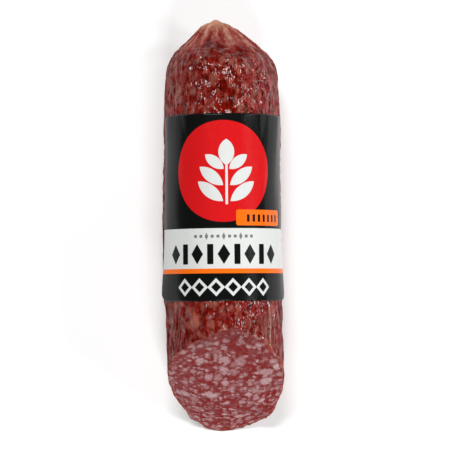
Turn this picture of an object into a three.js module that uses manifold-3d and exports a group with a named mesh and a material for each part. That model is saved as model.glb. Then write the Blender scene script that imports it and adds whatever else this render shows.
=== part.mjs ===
// Half a stick of dry-cured sausage, lying on its side.
// +Y runs along the sausage to its gathered end, the slanted cut faces -Y and up, +Z is up, in millimetres.
// The origin is on the surface that it rests on, under the middle of the whole thing.

import * as THREE from 'three';
import * as BufferGeometryUtils from 'three/addons/utils/BufferGeometryUtils.js';
import Module from 'manifold-3d';

const wasm = await Module();
wasm.setup();

// ---- driving dimensions ----

const BODY_RADIUS = 22;           // outside the casing, along the label
const NECK_IN_RADIUS = 21.2;      // outside the casing, where the gathered end begins
const SAUSAGE_LENGTH = 153.3;     // from the gathered tip to the cut's lowest point
const CUT_LENGTH = 38.6;          // how far the cut slants back along the sausage, from its bottom to its top
const REST_WIDTH = 10;            // flat strip along the underside that it lies on

const CASING_WALL = 0.5;
const MEAT_CLEARANCE = 0.3;       // between the meat and the casing

const END_LENGTH = 21;            // gathered end, from the tip to the full round
const END_SLOPE = 1.13;           // radius gained per unit of length on the cone of the gathered end
const NOSE_RADIUS = 6.4;          // where the blunt tip turns into the cone
const NOSE_DEPTH = 2.2;
const CONE_SHARE = 0.745;         // the cone turns into the shoulder at this share of the radius
const TIP_LEAN = 1.7;             // the tip sits this far to the left of the middle
const PLEATS = 16;
const PLEAT_HEIGHT = 0.35;

const TUCK_DEPTH = 5.5;           // hollow in the gathered end that the folded tail lies in
const TUCK_HALF_WIDTH = 6.5;
const TUCK_REACH = 17;            // how far the hollow runs down from the tip
const TUCK_STARTS = 0.25;         // it is at full depth from this share of that reach
const TUCK_STOPS = 0.6;           // and grows shallower again from this one

const LABEL_WIDTH = 62.6;         // measured around the sausage
const LABEL_LENGTH = 68.5;
const LABEL_TO_TIP = 36.05;       // from the gathered tip to the label's near edge
const LABEL_TURN = 1.7;           // degrees that the label's middle is turned to the right of the top
const LABEL_CORNER = 2.2;
const LABEL_THICKNESS = 0.3;
const LABEL_CLEARANCE = 0.3;

const TAIL_HALF_WIDTH = 2.3;      // the casing's gathered tail where the clip holds it
const TAIL_HALF_THICKNESS = 1.15;
const TAIL_FLARE = 1.7;           // the loose end is this many times as wide as the clipped neck
const TAIL_LENGTH = 7.6;          // how far the loose end hangs below the clip's middle
const TAIL_ROOT_INSIDE = 0.5;     // the tail starts this far behind its own line, inside the tip
const TAIL_ROOT_RISE = 0.6;       // and this far above the tip
const TAIL_BOW = 0.2;             // it bows out by this much before the clip
const TAIL_FOLDS = 8;
const TAIL_FOLD_DEPTH = 0.09;     // share of its width that the folds cut in
const TAIL_FLARE_FROM = 0.12;     // the flare runs between these shares of the tail, either way from the clip
const TAIL_FLARE_TO = 0.5;
const CLIP_CLEARANCE = 0.4;       // between the clip and the tail in it, and the sausage behind it
const CLIP_WIRE = 1.5;
const CLIP_HEIGHT = 2.4;
const CLIP_DROP = 6;              // the clip's middle, below the tip

// ---- resolution ----

const AROUND = 64;
const NOSE_STEPS = 4;
const CONE_STEPS = 5;
const SHOULDER_STEPS = 6;
const CORNER_STEPS = 4;
const LABEL_COLUMNS = 28;
const LABEL_ROWS = 4;
const TAIL_AROUND = 32;
const TAIL_RINGS = 16;
const CLIP_SEGMENTS = 16;
const CLIP_SEARCH_STEP = 0.002;   // share of the tail's length
const WELD = 1e-4;                // points closer than this become one

// ---- sizes that follow ----

const REST_SINK = BODY_RADIUS - Math.sqrt(BODY_RADIUS ** 2 - (REST_WIDTH / 2) ** 2);
const AXIS_HEIGHT = BODY_RADIUS - REST_SINK;
const SAUSAGE_HEIGHT = AXIS_HEIGHT + BODY_RADIUS;
const TIP_Y = SAUSAGE_LENGTH / 2;
const CUT_BOTTOM_Y = -SAUSAGE_LENGTH / 2;
const LABEL_END_Y = TIP_Y - LABEL_TO_TIP;
const CONE_POINT = NOSE_RADIUS - END_SLOPE * NOSE_DEPTH;   // radius that the cone would have at the tip
const TOOL_MARGIN = 30;           // how far the cutting shapes stand clear of the sausage

// ---- helpers ----

function toSolid(geometry) {
  const plain = geometry.clone();
  plain.deleteAttribute('normal');
  plain.deleteAttribute('uv');
  const merged = BufferGeometryUtils.mergeVertices(plain, WELD);
  return new wasm.Manifold(new wasm.Mesh({
    numProp: 3,
    vertProperties: new Float32Array(merged.attributes.position.array),
    triVerts: new Uint32Array(merged.index.array),
  }));
}

function toGeometry(solid) {
  const mesh = solid.getMesh();
  const geometry = new THREE.BufferGeometry();
  geometry.setAttribute('position', new THREE.BufferAttribute(mesh.vertProperties, mesh.numProp));
  geometry.setIndex(new THREE.BufferAttribute(mesh.triVerts, 1));
  geometry.computeVertexNormals();
  return geometry;
}

function moveEachPoint(geometry, move) {
  const position = geometry.attributes.position;
  const point = new THREE.Vector3();
  for (let i = 0; i < position.count; i += 1) {
    point.fromBufferAttribute(position, i);
    move(point);
    position.setXYZ(i, point.x, point.y, point.z);
  }
  return geometry;
}

// ---- the sausage's round form, before the cut ----

// Half the outline, from the tip round to the far end: a blunt nose, a cone, a shoulder and a long round.
// Inset draws it smaller by that much all over, for what lies inside the casing.
function outline(inset) {
  const tip = TIP_Y - inset;
  const full = BODY_RADIUS - inset;
  const necked = NECK_IN_RADIUS - inset;
  const nose = NOSE_RADIUS - inset;
  const conePoint = CONE_POINT - inset;
  const coneEndRadius = necked * CONE_SHARE;
  const coneEnd = new THREE.Vector2(coneEndRadius, tip - (coneEndRadius - conePoint) / END_SLOPE);
  const cornerDepth = (necked - conePoint) / END_SLOPE;
  const noseEnd = new THREE.Vector2(nose, tip - NOSE_DEPTH);
  const shoulder = new THREE.Vector2(necked, tip - END_LENGTH);
  const curves = [
    new THREE.QuadraticBezierCurve(new THREE.Vector2(0, tip), new THREE.Vector2(conePoint, tip), noseEnd),
    new THREE.LineCurve(noseEnd, coneEnd),
    new THREE.QuadraticBezierCurve(coneEnd, new THREE.Vector2(necked, tip - cornerDepth), shoulder),
  ];
  const steps = [NOSE_STEPS, CONE_STEPS, SHOULDER_STEPS];
  const points = curves.flatMap((curve, i) => curve.getPoints(steps[i]).slice(i === 0 ? 0 : 1));
  points.push(new THREE.Vector2(full, LABEL_END_Y));
  points.push(new THREE.Vector2(full, CUT_BOTTOM_Y - TOOL_MARGIN));
  points.push(new THREE.Vector2(0, CUT_BOTTOM_Y - TOOL_MARGIN));
  return points.reverse();
}

// The gathered casing stands out in pleats that run to the tip and fade out on the shoulder.
function pleat(point) {
  const depth = TIP_Y - point.y;
  const radius = Math.hypot(point.x, point.z);
  if (depth >= END_LENGTH || radius === 0) return;
  const fade = Math.sin(Math.PI * depth / END_LENGTH);
  const lift = PLEAT_HEIGHT * fade * Math.cos(PLEATS * Math.atan2(point.z, point.x));
  point.x *= (radius + lift) / radius;
  point.z *= (radius + lift) / radius;
}

// Leans the tip to the left and hollows the end below it, where the folded tail lies.
function settleEnd(point) {
  const depth = TIP_Y - point.y;
  if (depth >= END_LENGTH) return;
  const drop = -point.z;
  const across = Math.exp(-((point.x / TUCK_HALF_WIDTH) ** 2));
  const starts = THREE.MathUtils.smoothstep(drop, 0, TUCK_REACH * TUCK_STARTS);
  const stops = 1 - THREE.MathUtils.smoothstep(drop, TUCK_REACH * TUCK_STOPS, TUCK_REACH);
  point.y -= TUCK_DEPTH * across * starts * stops;
  point.x -= TIP_LEAN * (1 - Math.max(depth, 0) / END_LENGTH) ** 2;
}

function roundForm(inset, pleated) {
  const geometry = new THREE.LatheGeometry(outline(inset), AROUND);
  if (pleated) moveEachPoint(geometry, pleat);
  moveEachPoint(geometry, settleEnd);
  geometry.translate(0, 0, AXIS_HEIGHT);
  return toSolid(geometry).subtract(belowHeight(inset));
}

function belowHeight(height) {
  const block = new THREE.BoxGeometry(4 * BODY_RADIUS, 2 * SAUSAGE_LENGTH, BODY_RADIUS);
  block.translate(0, 0, height - BODY_RADIUS / 2);
  return toSolid(block);
}

// Everything past the slanted cut.
function pastTheCut() {
  const lean = CUT_LENGTH / SAUSAGE_HEIGHT;
  const outward = new THREE.Vector3(0, -1, lean).normalize();
  const size = SAUSAGE_LENGTH;
  const block = new THREE.BoxGeometry(size, size, size);
  block.translate(0, 0, size / 2);
  block.applyQuaternion(new THREE.Quaternion().setFromUnitVectors(new THREE.Vector3(0, 0, 1), outward));
  block.translate(0, CUT_BOTTOM_Y, 0);
  return toSolid(block);
}

// ---- the casing's folded tail ----

// The clip's upper edge comes nearest to the hollow behind it, and sets how far out the tail runs.
const HOLLOW_BEHIND_CLIP = TUCK_DEPTH + (CLIP_DROP - CLIP_HEIGHT / 2 - CONE_POINT) / END_SLOPE;
const CLIP_OUT = TAIL_HALF_THICKNESS + CLIP_CLEARANCE + CLIP_WIRE + CLIP_CLEARANCE - HOLLOW_BEHIND_CLIP;

// From inside the tip, down through the clip and back along the slope, as distances from the tip.
// The loose end falls away in two steps: gently past the clip, then as steeply as the cone behind it.
const tailRoute = new THREE.CatmullRomCurve3([
  new THREE.Vector3(0, CLIP_OUT - TAIL_ROOT_INSIDE, TAIL_ROOT_RISE),
  new THREE.Vector3(0, CLIP_OUT + TAIL_BOW, -CLIP_DROP * 0.4),
  new THREE.Vector3(0, CLIP_OUT, -CLIP_DROP + CLIP_HEIGHT / 2),
  new THREE.Vector3(0, CLIP_OUT, -CLIP_DROP - CLIP_HEIGHT / 2),
  new THREE.Vector3(0, CLIP_OUT - TAIL_LENGTH * 0.2, -CLIP_DROP - TAIL_LENGTH * 0.58),
  new THREE.Vector3(0, CLIP_OUT - TAIL_LENGTH * 0.57, -CLIP_DROP - TAIL_LENGTH),
].map((point) => point.add(new THREE.Vector3(-TIP_LEAN, TIP_Y, AXIS_HEIGHT))));

// Where along the route the clip sits, as a share of its length.
const CLIP_SHARE = (() => {
  const wanted = AXIS_HEIGHT - CLIP_DROP;
  let share = 0;
  while (tailRoute.getPointAt(share).z > wanted) share += CLIP_SEARCH_STEP;
  return share;
})();

// X runs across the tail, Y away from the sausage and Z back along the tail.
function tailFrame(share) {
  const back = tailRoute.getTangentAt(share).negate();
  const across = new THREE.Vector3(1, 0, 0);
  const outward = new THREE.Vector3().crossVectors(back, across).normalize();
  return new THREE.Matrix4().makeBasis(across, outward, back).setPosition(tailRoute.getPointAt(share));
}

// A bundle of folds, squashed flat at the clip and flared at both ends.
function tailSolid() {
  const points = [new THREE.Vector2(0, 0)];
  for (let i = 0; i <= TAIL_RINGS; i += 1) points.push(new THREE.Vector2(1, i / TAIL_RINGS));
  points.push(new THREE.Vector2(0, 1));
  const geometry = new THREE.LatheGeometry(points, TAIL_AROUND);
  moveEachPoint(geometry, (point) => {
    const share = point.y;
    const fold = 1 - TAIL_FOLD_DEPTH * (1 - Math.cos(TAIL_FOLDS * Math.atan2(point.z, point.x)));
    const fromClip = Math.abs(share - CLIP_SHARE);
    const spread = THREE.MathUtils.smoothstep(fromClip, TAIL_FLARE_FROM, TAIL_FLARE_TO);
    const width = TAIL_HALF_WIDTH * (1 + (TAIL_FLARE - 1) * spread);
    point.set(point.x * width * fold, point.z * TAIL_HALF_THICKNESS * fold, 0);
    point.applyMatrix4(tailFrame(share));
  });
  return toSolid(geometry);
}

// ---- pieces ----

function makeCasing() {
  const outside = roundForm(0, true).add(tailSolid());
  return toGeometry(outside.subtract(roundForm(CASING_WALL, false)).subtract(pastTheCut()));
}

function makeMeat() {
  return toGeometry(roundForm(CASING_WALL + MEAT_CLEARANCE, false).subtract(pastTheCut()));
}

// A flat sheet with round corners, as columns of points, then bent around the sausage.
// It was stuck on before the stick was halved, so a label that reached the cut would end there.
function makeLabel() {
  const straight = LABEL_WIDTH / 2 - LABEL_CORNER;
  const columns = LABEL_COLUMNS + 2 * CORNER_STEPS;
  const sheet = new THREE.BoxGeometry(2, 2, LABEL_THICKNESS, columns, LABEL_ROWS, 1);
  const bendRadius = BODY_RADIUS + LABEL_CLEARANCE + LABEL_THICKNESS / 2;
  const middleY = LABEL_END_Y - LABEL_LENGTH / 2;
  moveEachPoint(sheet, (point) => {
    const column = Math.round((point.x + 1) / 2 * columns);
    const fromEdge = Math.min(column, columns - column);
    const turn = Math.PI / 2 * Math.min(fromEdge / CORNER_STEPS, 1);
    const inner = (column - columns / 2) / (LABEL_COLUMNS / 2) * straight;
    const edge = Math.sign(point.x) * (straight + LABEL_CORNER * Math.cos(turn));
    const across = fromEdge <= CORNER_STEPS ? edge : inner;
    const along = point.y * (LABEL_LENGTH / 2 - LABEL_CORNER * (1 - Math.sin(turn)));
    const angle = across / BODY_RADIUS + THREE.MathUtils.degToRad(LABEL_TURN);
    const radius = bendRadius + point.z;
    point.set(radius * Math.sin(angle), middleY + along, AXIS_HEIGHT + radius * Math.cos(angle));
  });
  return toGeometry(toSolid(sheet).subtract(pastTheCut()));
}

// A short band of wire crushed round the neck of the tail.
function makeClip() {
  const hole = [TAIL_HALF_WIDTH + CLIP_CLEARANCE, TAIL_HALF_THICKNESS + CLIP_CLEARANCE];
  const shape = new THREE.Shape();
  shape.absellipse(0, 0, hole[0] + CLIP_WIRE, hole[1] + CLIP_WIRE, 0, 2 * Math.PI, false, 0);
  const gap = new THREE.Path();
  gap.absellipse(0, 0, hole[0], hole[1], 0, 2 * Math.PI, true, 0);
  shape.holes.push(gap);
  const drawn = { depth: CLIP_HEIGHT, bevelEnabled: false, curveSegments: CLIP_SEGMENTS };
  const band = new THREE.ExtrudeGeometry(shape, drawn);
  band.translate(0, 0, -CLIP_HEIGHT / 2);
  return toGeometry(toSolid(band));
}

// ---- finishes and assembly ----

const FINISHES = {
  sausage_meat: { color: 0x8e3a38, roughness: 0.5, metalness: 0 },
  casing: { color: 0x7a2c28, roughness: 0.3, metalness: 0 },
  label: { color: 0x121414, roughness: 0.2, metalness: 0 },
  clip: { color: 0xb8babc, roughness: 0.35, metalness: 1 },
};

function named(name, geometry) {
  const mesh = new THREE.Mesh(geometry, new THREE.MeshStandardMaterial(FINISHES[name]));
  mesh.name = name;
  return mesh;
}

const clip = named('clip', makeClip());
clip.applyMatrix4(tailFrame(CLIP_SHARE));

const group = new THREE.Group();
group.add(named('sausage_meat', makeMeat()));
group.add(named('casing', makeCasing()));
group.add(named('label', makeLabel()));
group.add(clip);

// The origin sits under the middle of the whole sausage.
const whole = new THREE.Box3().setFromObject(group);
group.position.set(-(whole.min.x + whole.max.x) / 2, -(whole.min.y + whole.max.y) / 2, 0);

export default group;
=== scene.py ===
"""Half a stick of dry-cured sausage with its front label, lying on a pale table and seen from above.

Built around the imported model: its casing, meat, label and clip are fine meshes in the places of the plain
solids. Lengths in this script are millimetres until a mesh is made, and +Y runs to the gathered end.
"""

import math
import random

import bpy
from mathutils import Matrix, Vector, noise


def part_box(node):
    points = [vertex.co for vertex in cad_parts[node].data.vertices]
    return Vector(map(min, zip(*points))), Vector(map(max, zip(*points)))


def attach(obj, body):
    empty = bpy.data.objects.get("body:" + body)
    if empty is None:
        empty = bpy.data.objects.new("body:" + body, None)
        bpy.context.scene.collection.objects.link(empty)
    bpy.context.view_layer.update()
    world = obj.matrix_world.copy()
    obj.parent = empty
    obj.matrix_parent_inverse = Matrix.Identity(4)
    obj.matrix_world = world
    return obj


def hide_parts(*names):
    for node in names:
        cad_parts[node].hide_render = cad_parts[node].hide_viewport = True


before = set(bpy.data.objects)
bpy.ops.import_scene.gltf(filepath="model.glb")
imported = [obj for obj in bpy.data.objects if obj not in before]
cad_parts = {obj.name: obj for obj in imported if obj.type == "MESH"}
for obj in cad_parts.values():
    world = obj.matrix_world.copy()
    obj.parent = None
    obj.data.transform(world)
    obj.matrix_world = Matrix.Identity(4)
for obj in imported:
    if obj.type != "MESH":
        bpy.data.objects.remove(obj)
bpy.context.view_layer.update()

MM = 0.001

# ---- sizes, from the frame ----

CASING_LOW, CASING_HIGH = ([c / MM for c in corner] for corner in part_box("casing"))
CLIP_LOW, CLIP_HIGH = ([c / MM for c in corner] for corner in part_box("clip"))
LABEL_LOW, LABEL_HIGH = ([c / MM for c in corner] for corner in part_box("label"))
RADIUS = (CASING_HIGH[0] - CASING_LOW[0]) / 2
MIDDLE_X = (CASING_HIGH[0] + CASING_LOW[0]) / 2
AXIS_HEIGHT = CASING_HIGH[2] - RADIUS
TIP_Y = CASING_HIGH[1]
CUT_LOW_Y = CASING_LOW[1]
HEIGHT = CASING_HIGH[2]
LABEL_NEAR_Y, LABEL_FAR_Y = LABEL_LOW[1], LABEL_HIGH[1]
CLIP_MIDDLE = [(a + b) / 2 for a, b in zip(CLIP_LOW, CLIP_HIGH)]
CLIP_HALF = [(b - a) / 2 for a, b in zip(CLIP_LOW, CLIP_HIGH)]

# ---- sizes of the sausage ----

NECK_IN_RADIUS = 21.2  # where the gathered end begins
CUT_LENGTH = 38.6  # how far the cut slants back from its bottom to its top
END_LENGTH = 21  # gathered end, from the tip to the full round
END_SLOPE = 1.13
NOSE_RADIUS = 5.9
NOSE_DEPTH = 2.2
NUB_HEIGHT, NUB_RADIUS = 0.8, 2.6  # the knot of folds at the very tip
CONE_SHARE = 0.745
TIP_LEAN = 1.7
BEND = 0.6  # the cut end sits this far to the right
LEFT_SHRINK = 0.9  # how much the left flank has dried in between the label and the cut
LEFT_SHOULDER = 0.7  # and how much about the label's far end
UNDERSIDE_SETTLE = 0.4  # how much the underside gives where the stick lies on it
TUCK_DEPTH, TUCK_HALF_WIDTH, TUCK_REACH = 5.5, 6.5, 17  # the hollow that the folded tail lies in

# where the cut's edge strays from its plane: degrees from the top, how far (+ shortens the stick), how wide
SLIPS = [
    (-13, -1.5, 9),
    (-32, -1.9, 26),
    (-96, 2.0, 18),
    (-124, 1.9, 18),
    (180, -0.9, 16),
    (106, 0.6, 13),
    (125, -1.5, 13),
]

# long ridges that the casing dried into near the cut, on the right: degrees from the top, how strong
RIDGES = ((50, 1.0), (40, 0.5), (64, 0.6))
RIDGE_WIDTH = 1.6  # degrees
RIDGE_HEIGHT = 0.25

SKIN = 0.14  # the casing's rim at the cut; a real one is thinner, and this is what still shows
SKIN_HIDDEN = 0.65  # how deep the casing's plain inner face lies where nothing shows it
MEAT_GAP = 0.02  # between the casing's rim and the meat in it
MEAT_HIDDEN = 0.8  # how deep the meat's plain outer face lies under the casing

LABEL_FILM = 0.12
LABEL_LIFT = 0.1  # the label's underside over the casing
LABEL_WIDTH = 62.6  # around the stick, as printed
LABEL_LEFT, LABEL_RIGHT = 28.9, 30.5  # from the print's middle to the film's trimmed edges
LABEL_CORNER = 3.0
LABEL_TURN = 1.7  # degrees
SIDE_LIFTS = (1.3, 0.7)  # how far the near corners stand off, left and right, 10 mm out from where they part
SIDE_PARTS = 19  # how far out from the print's middle the film begins to part from the casing
WEDGES = (-13.5, 14.5)  # middles of the film's two wedge-shaped creases, from the print's middle
WEDGE_HALF_WIDTH, WEDGE_HEIGHT = 3.4, 0.22

WIRE_WIDTH = 1.3
LEG_END = ((0.55, 1.7), (0.62, 1.1), (0.85, 0.45))  # a leg's turned-in end: across, and in from the bend

# the folded tail's middle line, as y and z from the clip's middle
TAIL_ROUTE = [(-0.5, 6.6), (0.2, 3.6), (0.1, 1.2), (-0.1, -1.2), (-1.5, -4.4), (-4.0, -7.4)]
TAIL_HALF_WIDTH, TAIL_HALF_THICKNESS = 2.2, 1.05

# ---- the label's print: places from the print's middle and its near edge ----

DISC_MIDDLE, DISC_RADIUS = (0, 47.4), 18.6
SPRIG_FOOT = (1.2, 35.4)
STEM_MIDDLE, STEM_SIZE = (0, 7.5), (0.9, 15.5)  # from the sprig's foot, like the leaves
END_LEAF = (18.9, 0, 9.6, 5.8)  # height over the foot, reach to the side, length, width
LEAF_PAIRS = ((4.6, 6.0, 11.8, 4.6), (10.2, 5.6, 11.0, 4.5), (15.4, 4.4, 8.6, 3.9))
LEAF_TURN = 52  # degrees
TAG_MIDDLE, TAG_SIZE, TAG_CORNER = (15.1, 30.4), (20.9, 5.8), 0.8
DASHES_MIDDLE, DASHES_SIZE = (16.2, 30.2), (15.3, 4)
DASH_STEP, DASH_SIZE = 1.15, (1.1, 2.7)
ALL_ROUND = 90  # wider than the label, for bands that run across it
BAND_MIDDLE, BAND_SIZE = (0, 19.15), (ALL_ROUND, 14.7)
STRIPE_MIDDLE, STRIPE_SIZE = (0, 10.95), (ALL_ROUND, 1.7)
MARKS_MIDDLE, MARKS_SIZE, MARK_STEP = (0, 17.1), (44.6, 8), 4.96
MARK_LOZENGE, MARK_BAR = (2.3, 3.7), (2.3, 7.4)
SMALL_MIDDLE, SMALL_SIZE = (0, 23.6), (23.4, 3)
SMALL_DASH_STEP, SMALL_DASH = 1.05, (1.15, 1.1)
SMALL_BAR_STEP, SMALL_BAR = 3.15, (0.5, 2.3)
CHAIN_MIDDLE, CHAIN_SIZE, CHAIN_STEP = (0.1, 5.05), (36.8, 8), 3.07
CHAIN_START, CHAIN_LOZENGE, CHAIN_LINE = (3.17, 5.05), (2.5, 2.6), 0.5

# ---- how fine the meshes are ----

COLUMNS = 300  # round the stick
ROW_STEP = 0.46
FAN_ROWS = 190  # from the label's far end to the cut
FACE_RINGS = 56
CURVE_STEPS = 40
INNER_COLUMNS = 75  # round the plain faces that nothing shows
INNER_DEPTHS = (40, 30, 24)  # their rings before the gathered end, from the tip
INNER_STEP = 3  # and along the gathered end
CASING_INNER_SHARES = (0.985, 0.93, 0.8, 0.6, 0.4, 0.2, 0)  # their rings towards the cut, 1 at the cut
MEAT_INNER_SHARES = (0.97, 0.8, 0.6, 0.4, 0.2, 0)
LABEL_STEP = 0.55
LABEL_CORNER_STEPS = 8
TAIL_COLUMNS, TAIL_STEPS = 90, 70
WIRE_STEPS = 24  # round the clip's wire
BEND_STEP = 6  # degrees along the clip's bend

# ---- table, light and camera: metres, watts and degrees ----

TABLE_REACH = 3
TABLE_DROP = 0.0002
WORLD_LIGHT = 0.04

# name, size, power, place, where it points
LIGHTS = [
    ("right strip, far part", (0.1, 0.26), 1.9, (0.75, 0.27, 0.5), (0, 0.03, 0.03)),
    ("right strip, near part", (0.1, 0.26), 1.8, (0.75, -0.13, 0.5), (0, -0.03, 0.03)),
    ("left softbox", (0.16, 0.3), 2.0, (-0.45, 0.55, 0.8), (0, 0, 0.03)),
    ("far softbox", (0.38, 0.24), 6.6, (-0.12, 0.6, 0.95), (0, 0, 0.03)),
    ("near softbox", (0.38, 0.24), 6.2, (0.1, -0.75, 0.85), (0, 0, 0.03)),
]

CAMERA_LENS, CAMERA_SENSOR = 182, 36  # millimetres
CAMERA_PLACE = (0.0008, -0.0279, 0.8714)
CAMERA_TURN = (1.9, 0, -0.5)

rng = random.Random(7)


# ---- helpers ----


def smooth(low, high, value):
    t = min(max((value - low) / (high - low), 0), 1)
    return t * t * (3 - 2 * t)


def blend(a, b, share):
    return a + (b - a) * share


def turned_away(turn, place):
    """Degrees round the stick from a place to a turn, from -180 to 180."""
    return (turn - place + 180) % 360 - 180


def hump(away, width):
    """1 at a place, falling to 0 away from it on both sides."""
    return math.exp(-((away / width) ** 2))


def make_piece(name, points, faces, material, uv=None, values=None):
    """A smooth mesh object from points in millimetres, with a print map or a named value per point."""
    mesh = bpy.data.meshes.new(name)
    mesh.from_pydata([tuple(c * MM for c in p) for p in points], [], faces)
    mesh.materials.append(material)
    mesh.shade_smooth()
    if uv:
        layer = mesh.uv_layers.new(name="print")
        for loop in mesh.loops:
            layer.data[loop.index].uv = uv[loop.vertex_index]
    if values:
        value_name, numbers = values
        attribute = mesh.attributes.new(value_name, "FLOAT", "POINT")
        for k, number in enumerate(numbers):
            attribute.data[k].value = number
    piece = bpy.data.objects.new(name, mesh)
    bpy.context.scene.collection.objects.link(piece)
    return piece


def ring_faces(first, second, count):
    """Quads between two rings of points that start at these indices."""
    return [
        (first + j, first + (j + 1) % count, second + (j + 1) % count, second + j) for j in range(count)
    ]


# ---- the sausage's form ----


def end_outline():
    """Radius and depth along the gathered end, as a fine line from the tip to the full round."""
    cone_point = NOSE_RADIUS - END_SLOPE * NOSE_DEPTH
    cone_end = NECK_IN_RADIUS * CONE_SHARE
    nose_end = (NOSE_RADIUS, NOSE_DEPTH)
    cone_last = (cone_end, (cone_end - cone_point) / END_SLOPE)
    corner = (NECK_IN_RADIUS, (NECK_IN_RADIUS - cone_point) / END_SLOPE)
    halfway = tuple((a + b) / 2 for a, b in zip(nose_end, cone_last))
    full_round = (NECK_IN_RADIUS, END_LENGTH)
    line = []
    for a, b, c in (
        ((0, 0), (cone_point, 0), nose_end),
        (nose_end, halfway, cone_last),
        (cone_last, corner, full_round),
    ):
        for i in range(CURVE_STEPS):
            t = i / CURVE_STEPS
            line.append(tuple((1 - t) ** 2 * a[k] + 2 * t * (1 - t) * b[k] + t * t * c[k] for k in (0, 1)))
    return line + [full_round]


def evenly(line, step):
    """The same line with its points about a step apart."""
    lengths = [0]
    for a, b in zip(line, line[1:]):
        lengths.append(lengths[-1] + math.dist(a, b))
    count = max(round(lengths[-1] / step), 2)
    spaced, k = [], 0
    for i in range(count + 1):
        wanted = lengths[-1] * i / count
        while k < len(line) - 2 and lengths[k + 1] < wanted:
            k += 1
        share = (wanted - lengths[k]) / (lengths[k + 1] - lengths[k])
        spaced.append(tuple(blend(line[k][n], line[k + 1][n], share) for n in (0, 1)))
    return spaced


def round_radius(depth):
    """Radius outside the casing, past the gathered end."""
    return blend(NECK_IN_RADIUS, RADIUS, smooth(END_LENGTH - 4, TIP_Y - LABEL_FAR_Y, depth))


def rim_slip(turn):
    """How far the cut's edge strays from its plane at a place around the rim, in degrees from the top."""
    return sum(slip * hump(turned_away(turn, place), width) for place, slip, width in SLIPS)


def cut_y(x, z):
    """Where the slanted cut lies, over a place in the section. x and z are from the middle and the table."""
    up = z - AXIS_HEIGHT
    turn = math.degrees(math.atan2(x, up))
    out = math.hypot(x, up) / RADIUS
    plane = CUT_LOW_Y + CUT_LENGTH * z / HEIGHT
    ragged = noise.noise(Vector((x * 0.35, z * 0.35, 3.1))) * 0.3 * smooth(0.75, 1, out)
    return plane + rim_slip(turn) * smooth(0.5, 1, out) + ragged


def swell(x, y, z):
    """Slow unevenness of the stuffed stick, shared by everything that lies on it."""
    slow = noise.noise(Vector((x / 26, y / 30, z / 26 + 5)))
    quick = noise.noise(Vector((x / 9, y / 15, z / 9 + 11)))
    return 0.42 * slow + 0.2 * quick


def under_label(x, y, z):
    """1 where the label holds the casing flat, falling to 0 outside it."""
    turn = math.degrees(math.atan2(x, z - AXIS_HEIGHT)) - LABEL_TURN
    past_near_edge = smooth(LABEL_NEAR_Y - 0.6, LABEL_NEAR_Y + 0.4, y)
    past_far_edge = smooth(LABEL_FAR_Y - 0.4, LABEL_FAR_Y + 0.6, y)
    half = math.degrees((LABEL_RIGHT if turn > 0 else LABEL_LEFT) / RADIUS)
    return past_near_edge * (1 - past_far_edge) * (1 - smooth(half - 1, half + 1.5, abs(turn)))


def wrinkles(x, y, z):
    """Drying wrinkles: dents a few millimetres across and finer lines drawn out along the stick."""
    waver = noise.noise(Vector((x / 6, y / 14, z / 6))) * 1.4
    lined = smooth(8, 17, abs(x + 1))
    dents = noise.noise(Vector((x / 2.6 + waver, y / 4.6, z / 2.6)))
    fine = noise.noise(Vector((x / 1.4, y / 2.6 + waver, z / 1.4 + 40)))
    ridge = 1 - abs(noise.noise(Vector((x / 1.7 + waver, y / 10, z / 1.7 + 80)))) * 2.4
    return blend(0.8, 0.4, lined) * dents + 0.12 * fine + blend(0.1, 0.18, lined) * ridge - 0.06


class Pleat:
    """One fold of the gathered casing: it rises slowly from one side and drops on the other."""

    def __init__(self, turn, width, height, start, end, drops_left=True):
        self.turn, self.width, self.height = turn, width, height
        self.start, self.end, self.drops_left = start, end, drops_left

    def lift(self, turn, depth):
        away = turned_away(turn, self.turn)
        if abs(away) > 3 * self.width or not self.start < depth < self.end:
            return 0
        width = self.width if (away > 0) == self.drops_left else self.width * 0.2
        rise = smooth(self.start, self.start + 1.2, depth)
        fade = 1 - smooth(self.end * 0.55, self.end, depth)
        return self.height * rise * fade * hump(away, width)


PLEATS = [
    Pleat(
        turn=k * 360 / 26 + rng.uniform(-5, 5),
        width=rng.uniform(4, 9),
        height=rng.uniform(0.2, 0.6),
        start=rng.uniform(0.05, 1.2),
        end=rng.uniform(6, 22),
        drops_left=rng.random() < 0.5,
    )
    for k in range(26)
] + [
    Pleat(turn=84, width=26, height=0.9, start=1.9, end=19),
    Pleat(turn=54, width=20, height=1.2, start=1.6, end=16, drops_left=False),
    Pleat(turn=18, width=15, height=1.1, start=0.8, end=13),
    Pleat(turn=9, width=3, height=0.6, start=0.4, end=15),
    Pleat(turn=-47, width=3.5, height=0.5, start=0.4, end=16),
    Pleat(turn=-26, width=20, height=1.0, start=0.6, end=12, drops_left=False),
    Pleat(turn=-56, width=13, height=0.9, start=1.0, end=16, drops_left=False),
    Pleat(turn=-84, width=16, height=0.45, start=2.4, end=15, drops_left=False),
]


def gathers(turn, depth):
    """The folds, with small cross wrinkles between them."""
    if depth > 24:
        return 0
    turn += 5 * noise.noise(Vector((turn / 25, depth / 5, 4)))
    folds = sum(p.lift(turn, depth) for p in PLEATS)
    angle = math.radians(turn)
    cross = noise.noise(Vector((math.sin(angle) * 3, math.cos(angle) * 3, depth / 1.1)))
    bunched = smooth(1, 4, depth) * (1 - smooth(14, 20, depth))
    return folds + (0.2 * cross - 0.2) * bunched


def drawn_streaks(turn, depth):
    """Streaks of colour that run from the tip between the folds, and the doubled sheet above the tail."""
    a = math.radians(turn)
    wide = noise.noise(Vector((5 * math.sin(a), 5 * math.cos(a), depth / 7)))
    fine = noise.noise(Vector((16 * math.sin(a), 16 * math.cos(a), depth / 4 + 9)))
    doubled = hump(turned_away(turn, -3), 17) * smooth(2, 5, depth) * (1 - smooth(8, 12, depth))
    return 1.1 * wide + 0.5 * fine + 0.6 * doubled


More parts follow.
